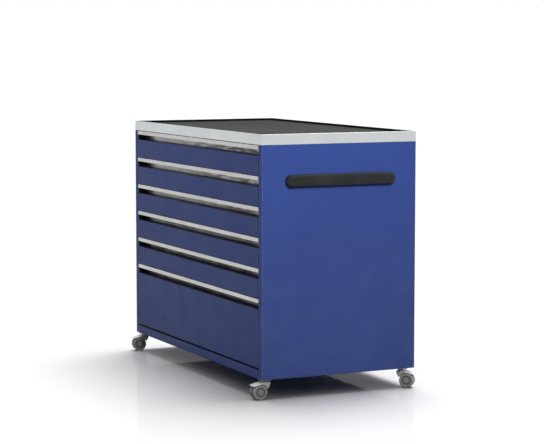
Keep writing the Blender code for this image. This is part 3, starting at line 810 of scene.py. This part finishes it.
def plinth():
    """Plinth rail: face and top flange in section, carried along the cabinet.

    The flange and most of its bend are painted dark, as shade in the joint under the bottom
    drawer.
    """
    low, high = node_box("plinth_rail")
    path = [(low[1] + PLINTH_FLANGE, high[2]), (low[1], high[2]), (low[1], low[2])]
    points, edge = bent_sheet(path, PANEL_SHEET, PANEL_BEND, steps=8)
    # Painted shade on the flange and its bend.
    edge = np.where(points[:, 1] > high[2] - JOINT_SHARE * PANEL_BEND, -1, edge)
    patch = swept((points, edge), "X", low[0], high[0])
    add_patches("plinth_face", [patch], BLUE, "cabinet", ["plinth_rail"])


def back_cover():
    """Back panel: a shallow pan in profile round its edge, with a row of rivets along each upright edge.

    A rivet's head is turned: its height falls off with the square of the radius, down to the panel.
    """
    low, high, middle, halves = node_space("back_panel")
    path = [
        (FLAT_RUN, high[1]),
        (0, high[1]),
        (0, low[1]),
        (PANEL_SHEET, low[1]),
        (PANEL_SHEET, high[1] - PANEL_SHEET),
        (FLAT_RUN, high[1] - PANEL_SHEET),
    ]
    profile = filleted(path, [FOLD_ROUND, CUT_ROUND, CUT_ROUND, SMALL_ROUND], closed=False)
    patches = [lofted(profile, "Y", middle[[0, 2]], halves[[0, 2]], FOLD_ROUND)]
    radius = np.linspace(0, RIVET_RADIUS, RIVET_RINGS)
    head = np.column_stack([radius, RIVET_RISE * (1 - (radius / RIVET_RADIUS) ** 2)])
    head = np.vstack([head, (RIVET_RADIUS, -SEAM)])
    for side in (-1, 1):
        for level in np.linspace(low[2] + RIVET_INSET, high[2] - RIVET_INSET, RIVETS):
            place = (middle[0] + side * (halves[0] - RIVET_INSET), high[1], level)
            patches.append(turned((head, np.zeros(len(head))), "Y", place, steps=20))
    add_patches("back_cover", patches, BLUE, "cabinet", ["back_panel"])


def top_tray():
    """Top tray: wall, rounded rim and floor in profile, carried round the top.

    The inner half of the rim is painted dark, as shade where it meets the mat's border.
    """
    low, high, middle, halves = node_space("top_tray")
    floor_top = node_box("top_mat")[0][2] - SEAM
    path = [
        (FLAT_RUN, floor_top),
        (RIM_WALL, floor_top),
        (RIM_WALL, high[2]),
        (0, high[2]),
        (0, low[2]),
        (RIM_WALL, low[2]),
        (RIM_WALL, floor_top - TRAY_FLOOR),
        (FLAT_RUN, floor_top - TRAY_FLOOR),
    ]
    radii = [FINE_ROUND, RIM_EASE, RIM_EASE, SMALL_ROUND, SMALL_ROUND, FINE_ROUND]
    points, edge = filleted(path, radii, closed=False)
    # Painted shade on the rim's inner half.
    edge = np.where((points[:, 0] > RIM_WALL / 2) & (points[:, 1] > floor_top), -1, edge)
    patch = lofted((points, edge), "Z", middle[:2], halves[:2], PANEL_BEND, steps=8)
    add_patches("tray_rim", [patch], PALE, "cabinet", ["top_tray"])


def work_mat():
    """Mat in the tray: edge, raised border and surface in profile, carried round the top.

    The inside of the border is painted darker, as shade.
    """
    low, high, middle, halves = node_space("top_mat")
    surface = node_box("top_tray")[1][2] - RECESS_DEPTH
    path = [
        (FLAT_RUN, low[2]),
        (0, low[2]),
        (0, high[2]),
        (MAT_BORDER, high[2]),
        (MAT_BORDER, surface),
        (MAT_RUN, surface),
    ]
    points, edge = filleted(path, [CUT_ROUND, SMALL_ROUND, SOFT_ROUND, FOLD_ROUND], closed=False)
    # Painted shade on the inside of the border.
    on_border = (points[:, 0] >= MAT_BORDER - SOFT_ROUND) & (points[:, 1] > surface + NEAR)
    edge = np.where(on_border, -1, edge)
    patch = lofted((points, edge), "Z", middle[:2], halves[:2], CORNER_ROUND)
    add_patches("work_mat", [patch], MAT, "cabinet", ["top_mat"])


def side_grip():
    """Side grip: a bar with a round edge carried round a stadium, less a finger pocket with round corners.

    The radius of the edge grows from the top of the ring to the bottom. An edge point lies the radius
    times one less the cosine inside the outline, and the radius times one less the sine behind the face.
    The upper edge counts as worn, and the lower one is painted darker, as shade.
    """
    low, high, middle, halves = node_space("side_handle")
    upwards = np.sin(ring_angles(GRIP_STEPS))
    radius = GRIP_ROUND - GRIP_TURN_IN * upwards
    angle = np.linspace(0, np.pi / 2, GRIP_RINGS)[:, None]
    level = np.zeros_like(radius)
    inset = [level + GRIP_BACK_RUN, level, radius * (1 - np.cos(angle)), level + halves[2] - GRIP_SPINE]
    height = [level + low[0], level + low[0], high[0] - radius * (1 - np.sin(angle)), level + high[0]]
    # Worn paler on the upper rounding, painted shade on the lower rounding.
    edge = np.vstack([level, level, GRIP_RUB_AND_SHADE * np.sin(2 * angle) * upwards, level])
    rings = (np.vstack(inset), np.vstack(height), edge)
    bar = ringed(*rings, "X", middle[1:], halves[1:], halves[2], GRIP_STEPS)
    bar = merged_mesh("grip_bar", [bar])

    top = high[2] - GRIP_WALL
    bottom = low[2] - POCKET_BELOW
    back = low[0] - POCKET_BEHIND
    front = high[0] - GRIP_WALL
    profile = filleted(channel(POCKET_RUN, back, 0, front), [FINE_ROUND, POCKET_FILLET], closed=False)
    place = (middle[1], (top + bottom) / 2)
    size = (halves[1] - halves[2], (top - bottom) / 2)
    pocket = merged_mesh("grip_pocket", [lofted(profile, "X", place, size, POCKET_CORNER)])
    mesh = combined_mesh(bar, pocket, "DIFFERENCE")
    add_piece("side_grip", mesh, GRIP, "cabinet", ["side_handle"])


# Drawers


def drawer_fronts():
    """Drawer fronts: a pan open at the back, its profile carried round the face.

    The profile has the eased front edge, the wall and the inside. The top edge is painted dark, as
    shade in the joint under the pull.
    """
    for body in DRAWERS:
        low, high, middle, halves = node_space(f"{body}_front")
        path = [
            (FACE_INSET, low[1]),
            (0, low[1]),
            (0, high[1]),
            (DRAWER_SHEET, high[1]),
            (DRAWER_SHEET, low[1] + DRAWER_SHEET),
            (FACE_INSET, low[1] + DRAWER_SHEET),
        ]
        profile = filleted(path, [FRONT_EASE, TINY_ROUND, TINY_ROUND, FINE_ROUND], closed=False)
        points, faces, edge = lofted(profile, "Y", middle[[0, 2]], halves[[0, 2]], CORNER_ROUND)
        # Painted shade along the top edge.
        edge = np.where(points[:, 2] > high[2] - FRONT_EASE - NEAR, -1, edge)
        add_patches(f"{body}_face", [(points, faces, edge)], BLUE, body, [f"{body}_front"])


def pull_strips():
    """Pull strips: leg, top and hanging lip in section along the drawer, with a black cap at each end."""
    for body in DRAWERS:
        low, high = node_box(f"{body}_pull")
        top = high[2]
        front = low[1]
        back = high[1]
        wall = back - PULL_SHEET
        corners = [
            (back, low[2]),
            (back, top),
            (front, top),
            (front, top - PULL_LIP),
            (front + PULL_SHEET, top - PULL_LIP),
            (front + PULL_SHEET, top - PULL_SHEET),
            (wall, top - PULL_SHEET),
            (wall, low[2]),
        ]
        radii = [FINE_ROUND, PULL_BEND, PULL_BEND, TIP_ROUND, TIP_ROUND, SOFT_ROUND, SOFT_ROUND, FINE_ROUND]
        points, edge = filleted(corners, radii, steps=8)
        # The wall behind the lip gets a painted reflection and painted shade.
        edge = np.where(np.isclose(points[:, 0], wall), -1, edge)
        strip = swept((points, edge), "X", low[0], high[0])
        add_patches(f"{body}_strip", [strip], ALUMINIUM, body, [f"{body}_pull"])

        bottom = top - PULL_HEIGHT + SEAM
        ceiling = top - PULL_SHEET - SEAM
        inside = front + PULL_SHEET + SEAM
        behind = wall - SEAM
        cap = filleted(channel(inside, bottom, behind, ceiling), SOFT_ROUND)
        left_cap = swept(cap, "X", low[0] + SEAM, low[0] + END_CAP)
        right_cap = swept(cap, "X", high[0] - END_CAP, high[0] - SEAM)
        add_patches(f"{body}_end_caps", [left_cap, right_cap], CAP, body)


def drawer_boxes():
    """Drawer boxes: floor, wall and hem in profile round the box, and a channel rail along each side."""
    for body in DRAWERS:
        low, high, middle, halves = node_space(f"{body}_box")
        carriage_low, carriage_high = node_box(f"{body}_right_carriage")
        half_x = carriage_low[0] - RAIL_GAP - middle[0]
        path = [
            (FLAT_RUN, low[2]),
            (0, low[2]),
            (0, high[2]),
            (2 * DRAWER_SHEET, high[2]),
            (2 * DRAWER_SHEET, high[2] - BOX_HEM),
            (DRAWER_SHEET, high[2] - BOX_HEM),
            (DRAWER_SHEET, low[2] + DRAWER_SHEET),
            (FLAT_RUN, low[2] + DRAWER_SHEET),
        ]
        radii = [BOX_FOLD, HEM_ROUND, HEM_ROUND, CUT_ROUND, TINY_ROUND, SMALL_ROUND]
        profile = filleted(path, radii, closed=False)
        patches = [lofted(profile, "Z", middle[:2], (half_x, halves[1]), FOLD_ROUND)]
        level = (carriage_low[2] + carriage_high[2]) / 2
        foot = level - RAIL_HALF
        head = level + RAIL_HALF
        for sign in (1, -1):
            outer = sign * ((high[0] if sign > 0 else low[0]) - middle[0])
            inner = half_x + NEAR
            points, edge = bent_sheet(channel(inner, foot, outer, head), RAIL_SHEET, FOLD_ROUND)
            section = (points * [sign, 1] + [middle[0], 0], edge)
            patches.append(swept(section, "Y", low[1] + SEAM, high[1] - SEAM))
        add_patches(f"{body}_tub", patches, ZINC, body, [f"{body}_box"])


# Castors, worked out from the floor under the kingpin, with the wheels trailing towards -Y


def hood_top(reach):
    """Height of the hood's upper face at a distance from the kingpin."""
    rise = (WHEEL_RADIUS + HOOD_GAP + HOOD_SHEET) / math.cos(HOOD_TILT)
    return WHEEL_RADIUS + rise - (reach - TRAIL) * math.tan(HOOD_TILT)


def polar(radius, angle):
    """A point at a radius and an angle from the axle, in the plane of the wheels."""
    return (radius * math.cos(angle) - TRAIL, radius * math.sin(angle) + WHEEL_RADIUS)


def cover_patch(crown_top, throat):
    """Cover of a castor: its outline as an eased bar.

    The outline runs along the crown, down the hood, round the wheel well and up the throat. The well is
    the arc that touches the underside of the hood and the throat, whose lines meet halfway between their
    angles. The top of the crown and of the hood gets the full edge value, which the castor finish paints
    paler as a highlight.
    """
    reach = TRAIL + WHEEL_RADIUS
    end = hood_top(reach)
    well = WHEEL_RADIUS + HOOD_GAP
    hood_angle = math.pi / 2 + HOOD_TILT
    meeting_radius = well / math.cos((hood_angle - THROAT_ANGLE) / 2)
    corners = [
        (CROWN_BACK, crown_top),
        (-CROWN_FRONT, crown_top),
        (-reach, end),
        (-reach, end - HOOD_SHEET / math.cos(HOOD_TILT)),
        polar(meeting_radius, (hood_angle + THROAT_ANGLE) / 2),
        throat,
        throat + [THROAT_WALL, 0],
        (CROWN_BACK, crown_top - THROAT_DROP),
    ]
    radii = [FOLD_ROUND, CROWN_NOSE, TIP_ROUND, TIP_ROUND]
    radii += [well - TIP_ROUND, SMALL_ROUND, COVER_ROUND, FOLD_ROUND]
    points, edge = filleted(corners, radii, steps=10)
    top = np.minimum(crown_top, hood_top(-points[:, 0]))
    # Painted highlight: the top faces get the full edge value.
    edge = np.where(points[:, 1] > top - HOOD_SHEET / 2, 1, edge)
    return eased_bar((points, edge), "X", -HOOD_HALF, HOOD_HALF, SLIGHT_ROUND)


def web_patch(crown_top, throat):
    """Web between the wheels, down past the axle: its outline as an eased bar."""
    past = TRAIL + WEB_TIP
    foot = WHEEL_RADIUS - WEB_TIP
    corners = [
        (-past, foot),
        (-TRAIL + WEB_FOOT, foot),
        throat + THROAT_WALL / 2,
        (CROWN_BACK / 2, crown_top - HOOD_SHEET),
        (-past, hood_top(past) - HOOD_SHEET),
    ]
    radii = [WEB_TIP - NEAR, WEB_TIP - NEAR, COVER_ROUND, COVER_ROUND, COVER_ROUND]
    section = filleted(corners, radii, steps=10)
    return eased_bar(section, "X", -WEB_HALF, WEB_HALF, FINE_ROUND)


def rod_patch(radius, low, high, rounding, axis, centre):
    """A rod: a rectangle with rounded corners turned about an axis."""
    return turned(filleted(channel(0, low, radius, high), rounding, closed=False), axis, centre)


def housing_mesh(crown_top):
    """Castor housing: cover, web and axle joined, with a socket for the kingpin."""
    throat = np.array(polar(WHEEL_RADIUS + HOOD_GAP, THROAT_ANGLE))
    axle = rod_patch(AXLE_RADIUS, -AXLE_HALF, AXLE_HALF, FINE_ROUND, "X", (0, -TRAIL, WHEEL_RADIUS))
    depth = crown_top - KINGPIN_DEPTH
    over = crown_top + SOCKET_OVER
    socket = rod_patch(KINGPIN_RADIUS + SEAM, depth, over, LEAST_RADIUS, "Z", (0, 0, 0))
    mesh = merged_mesh("cover", [cover_patch(crown_top, throat)])
    tools = ((web_patch(crown_top, throat), "UNION"), (axle, "UNION"), (socket, "DIFFERENCE"))
    for patch, operation in tools:
        mesh = combined_mesh(mesh, merged_mesh("tool", [patch]), operation)
    return mesh


def wheel_patch(sign):
    """Castor wheel turned about its axle: dimpled hub, recessed disc, rim, rounded tread and bore."""
    disc = WHEEL_OUTER - DISC_RECESS
    rim = WHEEL_RADIUS - RIM_DEPTH
    bore = AXLE_RADIUS + SEAM
    corners = [
        (0, WHEEL_OUTER - DIMPLE_DEPTH),
        (DIMPLE_RADIUS, WHEEL_OUTER - DIMPLE_DEPTH),
        (DIMPLE_RADIUS, WHEEL_OUTER),
        (HUB_RADIUS, WHEEL_OUTER),
        (HUB_RADIUS + WHEEL_DRAFT, disc),
        (rim - WHEEL_DRAFT, disc),
        (rim, WHEEL_OUTER),
        (WHEEL_RADIUS, WHEEL_OUTER),
        (WHEEL_RADIUS, WHEEL_INNER),
        (bore, WHEEL_INNER),
        (bore, WHEEL_OUTER - HUB_CAP),
        (0, WHEEL_OUTER - HUB_CAP),
    ]
    radii = [CUT_ROUND, CUT_ROUND, HUB_ROUND, SLIGHT_ROUND, SLIGHT_ROUND, HUB_ROUND]
    radii += [TREAD_ROUND, SOFT_ROUND, TINY_ROUND, TINY_ROUND]
    points, edge = filleted(corners, radii, closed=False)
    radius = points[:, 0]
    side = points[:, 1]
    # The disc recess and the hub dimple are painted darker, as shade.
    in_recess = (radius > HUB_RADIUS) & (radius < rim) & (side > disc - NEAR)
    in_dimple = (radius < DIMPLE_RADIUS) & (side > WHEEL_OUTER - HUB_CAP + NEAR)
    sunk = (in_recess | in_dimple) & (side < WHEEL_OUTER - SUNK_DEPTH)
    profile = (points * [1, sign], np.where(sunk, -1, edge))
    return turned(profile, "X", (0, -TRAIL, WHEEL_RADIUS), steps=72)


def mount_patches(low, high, crown_top):
    """Castor mount: a plate, four hexagon bolt heads, a stepped ball race and the kingpin."""
    plate_low = high[2] - MOUNT_SHEET
    half = (high[0] - low[0]) / 2
    profile = filleted(channel(MOUNT_RUN, plate_low, 0, high[2]), SLIGHT_ROUND, closed=False)
    patches = [lofted(profile, "Z", (0, 0), (half, half), MOUNT_CORNER)]
    under = crown_top + SEAM
    groove = RACE_RADIUS - RACE_GROOVE
    corners = [
        (0, plate_low + RACE_LAP),
        (RACE_RADIUS, plate_low + RACE_LAP),
        (RACE_RADIUS, under + RACE_LEVELS[0]),
        (groove, under + RACE_LEVELS[1]),
        (groove, under + RACE_LEVELS[2]),
        (RACE_RADIUS, under + RACE_LEVELS[3]),
        (RACE_RADIUS, under),
        (KINGPIN_RADIUS, under),
        (KINGPIN_RADIUS, low[2]),
        (0, low[2]),
    ]
    patches.append(turned(filleted(corners, TINY_ROUND, closed=False), "Z", (0, 0, 0)))
    corners = [
        (0, -BOLT_DROP),
        (BOLT_RADIUS - BOLT_CHAMFER, -BOLT_DROP),
        (BOLT_RADIUS, BOLT_BEVEL - BOLT_DROP),
        (BOLT_RADIUS, BOLT_LAP),
    ]
    bolt = filleted(corners, LEAST_RADIUS, closed=False)
    for x in (-1, 1):
        for y in (-1, 1):
            place = (x * (half - BOLT_INSET), y * (half - BOLT_INSET), plate_low)
            patches.append(turned(bolt, "Z", place, steps=6))
    return patches


def castors():
    """Places the housing, wheels and mount at each kingpin, turned as the castor's wheel axis is."""
    joints = {joint["name"]: joint for joint in frame["joints"]}
    for name in CASTORS:
        part = f"{name}_castor"
        kingpin = joints[f"{name}_swivel"]["pos_m"]
        axis = joints[f"{name}_right_spin"]["axis"]
        turn = math.atan2(axis[1], axis[0])
        base = (kingpin[0], kingpin[1], 0)
        low, high = node_box(f"{part}_mount")
        crown_top = node_box(f"{part}_housing")[1][2]

        mesh = housing_mesh(crown_top)
        mesh.transform(Matrix.Translation(base) @ Matrix.Rotation(turn, 4, "Z"))
        add_piece(f"{part}_cover", mesh, CASTOR_ZINC, f"{part}_swivel", [f"{part}_housing"])

        for side, sign in SIDES:
            patch = moved(wheel_patch(sign), turn, base)
            body = f"{part}_{side}_roller"
            wheel = [f"{part}_{side}_wheel"]
            add_patches(f"{name}_{side}_tread", [patch], TREAD, body, wheel)

        patches = [moved(patch, 0.0, base) for patch in mount_patches(low, high, crown_top)]
        mount = [f"{part}_mount"]
        add_patches(f"{name}_swivel_plate", patches, CASTOR_ZINC, "cabinet", mount)


def kept_nodes():
    """Finishes for the solids that show as they are."""
    kept = {"base_plate": BLUE, "top_panel": STEEL}
    for side in ("right", "left"):
        kept[f"{side}_base_beam"] = STEEL
        kept[f"{side}_runner_panel"] = STEEL
        for body in DRAWERS:
            kept[f"{body}_{side}_carriage"] = ZINC
    for name, finish in kept.items():
        for place in frame["nodes"][name].material_slots:
            place.material = finish


# Light, floor and camera


def surroundings():
    """White surroundings.

    They are plain white to the camera and in reflections, and brighter overhead where they light the
    object.
    """
    world = bpy.data.worlds.new("studio")
    bpy.context.scene.world = world
    world.use_nodes = True
    tree = world.node_tree
    place = wire(tree, "ShaderNodeTexCoord")["Generated"]
    height = wire(tree, "ShaderNodeSeparateXYZ", {0: place})["Z"]
    light = tree.nodes["Background"]
    light.inputs["Color"].default_value = WHITE
    tree.links.new(ranged(tree, height, *SKY_LIGHT), light.inputs["Strength"])
    white = wire(tree, "ShaderNodeBackground", {"Color": WHITE, "Strength": 1.0})[0]
    ray = wire(tree, "ShaderNodeLightPath")
    seen = arithmetic(tree, "MAXIMUM", ray["Is Camera Ray"], ray["Is Transmission Ray"])
    seen = arithmetic(tree, "MAXIMUM", seen, ray["Is Glossy Ray"])
    mixed = wire(tree, "ShaderNodeMixShader", {0: seen, 1: light.outputs[0], 2: white})
    tree.links.new(mixed[0], tree.nodes["World Output"].inputs["Surface"])


def add_lamp(name, lamp, place, aim):
    """Puts a lamp at a place and points it."""
    item = bpy.data.objects.new(name, lamp)
    item.location = place
    item.rotation_euler = (Vector(aim) - Vector(place)).to_track_quat("-Z", "Y").to_euler()
    bpy.context.scene.collection.objects.link(item)
    return item


def lamps():
    """A broad soft sun from behind on the left, and a softbox each for the right side and the front.

    The softboxes leave the floor out, so the only shadow on it is the sun's.
    """
    lamp = bpy.data.lights.new("soft_sun", "SUN")
    lamp.energy = SUN_POWER
    lamp.angle = math.radians(SUN_SPREAD)
    add_lamp("soft_sun", lamp, SUN_PLACE, (0, 0, 0))
    lit = bpy.data.collections.new("lit_by_softboxes")
    for name, softbox in SOFTBOXES.items():
        lamp = bpy.data.lights.new(name, "AREA")
        lamp.size = softbox["size"]
        lamp.energy = softbox["power"]
        lamp.spread = math.radians(SOFTBOX_SPREAD)
        item = add_lamp(name, lamp, softbox["place"], softbox["aim"])
        item.visible_glossy = False
        item.light_linking.receiver_collection = lit
    return lit


def floor(lit):
    """A pale floor, faintly glossy, which takes the sun's shadow. It bounces less light than it shows."""
    steps = np.array([-FLOOR_HALF, FLOOR_HALF])
    corner_x, corner_y = np.meshgrid(steps, steps)
    points = np.stack([corner_x.ravel(), corner_y.ravel(), np.zeros(4)], axis=-1)
    mesh = bpy.data.meshes.new("floor")
    mesh.from_pydata(points.tolist(), [], [(0, 1, 3, 2)])
    finish = bpy.data.materials.new("pale_floor")
    finish.use_nodes = True
    tree = finish.node_tree
    tree.nodes.remove(tree.nodes["Principled BSDF"])
    ray = wire(tree, "ShaderNodeLightPath")
    seen = arithmetic(tree, "MAXIMUM", ray["Is Camera Ray"], ray["Is Glossy Ray"])
    shade = tinted(tree, seen, FLOOR_BOUNCE, WHITE)
    matt = wire(tree, "ShaderNodeBsdfDiffuse", {"Color": shade})[0]
    gloss = wire(tree, "ShaderNodeBsdfGlossy", {"Color": WHITE, "Roughness": FLOOR_ROUGHNESS})[0]
    mixed = wire(tree, "ShaderNodeMixShader", {0: FLOOR_GLOSS, 1: matt, 2: gloss})
    tree.links.new(mixed[0], tree.nodes["Material Output"].inputs["Surface"])
    mesh.materials.append(finish)
    item = bpy.data.objects.new("floor", mesh)
    bpy.context.scene.collection.objects.link(item)
    lit.objects.link(item)
    lit.collection_objects[0].light_linking.link_state = "EXCLUDE"


def photo_camera():
    """Camera at the photograph's angle."""
    data = bpy.data.cameras.new("photo_camera")
    data.lens = CAMERA_LENS
    data.sensor_width = CAMERA_SENSOR
    camera = bpy.data.objects.new("photo_camera", data)
    camera.location = CAMERA_PLACE
    camera.rotation_euler = (math.pi / 2 - CAMERA_ELEVATION, 0, CAMERA_AZIMUTH)
    bpy.context.scene.collection.objects.link(camera)
    bpy.context.scene.camera = camera


bpy.context.scene.view_settings.view_transform = "Standard"
photo_camera()
surroundings()
floor(lamps())
kept_nodes()
side_panels()
plinth()
back_cover()
top_tray()
work_mat()
side_grip()
drawer_fronts()
pull_strips()
drawer_boxes()
castors()
